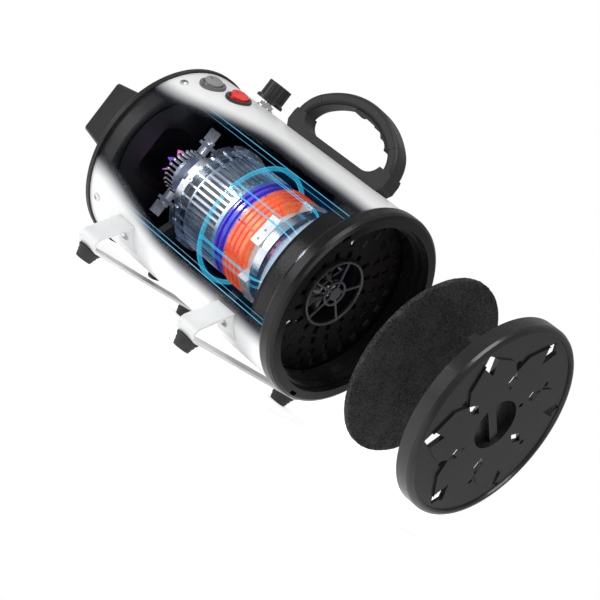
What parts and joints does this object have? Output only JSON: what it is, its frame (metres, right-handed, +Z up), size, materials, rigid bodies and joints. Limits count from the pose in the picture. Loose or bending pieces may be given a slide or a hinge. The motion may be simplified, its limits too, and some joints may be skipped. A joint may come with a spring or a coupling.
{
  "type": "car dryer blower",
  "caption": "Cylindrical high-velocity dryer with a square hose outlet, carrying handle, strap legs, speed and rocker controls, and a drawn-back filter and rear cover.",
  "frame": {"origin": "centre of the overall outline at the soles of the feet, with the rear cover and filter drawn back", "axes": "+Z up, +Y along the blower's axis towards the air intake, so the hose outlet faces -Y and the controls lean towards +X"},
  "size_m": [0.1801, 0.506, 0.2545],
  "materials": {
    "shell_white": "satin",
    "leg_white": "satin",
    "cover_black": "satin",
    "ring_black": "gloss",
    "cap_black": "satin",
    "handle_grey": "matte",
    "guard_wire": "satin",
    "rubber_black": "matte",
    "rubber_feet": "matte",
    "screw_steel": "satin",
    "nut_chrome": "polished",
    "bezel_black": "satin",
    "bezel_grey": "satin",
    "board_green": "satin",
    "clear_tube": "clear",
    "motor_alloy": "cast",
    "motor_silver": "machined",
    "brush_brass": "satin",
    "carbon": "matte",
    "spring_steel": "bright",
    "bearing_steel": "polished",
    "core_black": "lacquered",
    "fin_silver": "brushed",
    "coil_blue": "glossy",
    "coil_copper": "enamelled",
    "block_cream": "satin",
    "commutator_copper": "machined",
    "spinner_pink": "glossy",
    "fan_pink": "glossy",
    "knob_black": "satin",
    "rocker_red": "glossy",
    "rocker_grey": "glossy",
    "filter_foam": "open-cell foam"
  },
  "bodies": {
    "housing": {"barrel_shell": "shell_white", "front_cover": "cover_black", "outlet_port": "cover_black", "port_gasket": "rubber_black", "cover_screws": "screw_steel", "rear_ring": "ring_black", "ring_screws": "screw_steel", "intake_grille": "cover_black", "fan_guard": "guard_wire", "intake_cone": "cover_black", "handle_base": "handle_grey", "handle_front_clip": "handle_grey", "handle_grip": "handle_grey", "handle_rear_clip": "handle_grey", "grip_pad": "rubber_black", "handle_screws": "screw_steel", "front_leg": "leg_white", "rear_leg": "leg_white", "leg_screws": "screw_steel", "rubber_feet": "rubber_feet", "foot_screws": "screw_steel", "power_bezel": "bezel_black", "heat_bezel": "bezel_grey", "speed_control": "screw_steel", "knob_nut": "nut_chrome", "control_board": "board_green", "cord_gland": "rubber_black", "motor_tube": "clear_tube", "motor_mounts": "rubber_black", "front_bracket": "motor_alloy", "brush_holders": "brush_brass", "brushes": "carbon", "brush_springs": "spring_steel", "front_bearing": "bearing_steel", "stator_ring": "motor_silver", "stator_core": "core_black", "stator_fins": "fin_silver", "coil_former": "coil_blue", "field_coils": "coil_copper", "coil_blocks": "block_cream", "bearing_plate": "motor_silver", "rear_bearing": "bearing_steel"},
    "rotor": {"motor_shaft": "bearing_steel", "armature": "core_black", "armature_winding": "coil_copper", "commutator": "commutator_copper", "commutator_skirt": "motor_alloy", "nose_spinner": "spinner_pink", "impeller": "fan_pink", "fan_nut": "nut_chrome"},
    "speed_knob": {"speed_knob": "knob_black"},
    "power_rocker": {"power_rocker": "rocker_red"},
    "heat_rocker": {"heat_rocker": "rocker_grey"},
    "filter": {"foam_filter": "filter_foam"},
    "cover": {"rear_cover": "cap_black"}
  },
  "joints": [
    {"name": "rotor_spin", "type": "hinge", "parent": "housing", "child": "rotor", "pos_m": [0, -0.043, 0.1085], "axis": [0, 1, 0], "continuous": true},
    {"name": "speed_knob_turn", "type": "hinge", "parent": "housing", "child": "speed_knob", "pos_m": [0, -0.119, 0.1965], "axis": [0, 0, 1], "range_deg": [0, 270]},
    {"name": "power_rocker_tip", "type": "hinge", "parent": "housing", "child": "power_rocker", "pos_m": [0.03928, -0.116, 0.18903], "axis": [0.8988, 0, -0.4384], "range_deg": [0, 16]},
    {"name": "heat_rocker_tip", "type": "hinge", "parent": "housing", "child": "heat_rocker", "pos_m": [0.04615, -0.143, 0.1853], "axis": [0.8572, 0, -0.515], "range_deg": [0, 16]},
    {"name": "rear_cover_slide", "type": "slide", "parent": "housing", "child": "cover", "axis": [0, 1, 0], "range_m": [-0.148, 0]},
    {"name": "filter_slide", "type": "slide", "parent": "housing", "child": "filter", "axis": [0, 1, 0], "range_m": [-0.078, 0]}
  ],
  "couplings": [
    {"joint": "filter_slide", "follows": "rear_cover_slide", "ratio": 0.527}
  ]
}
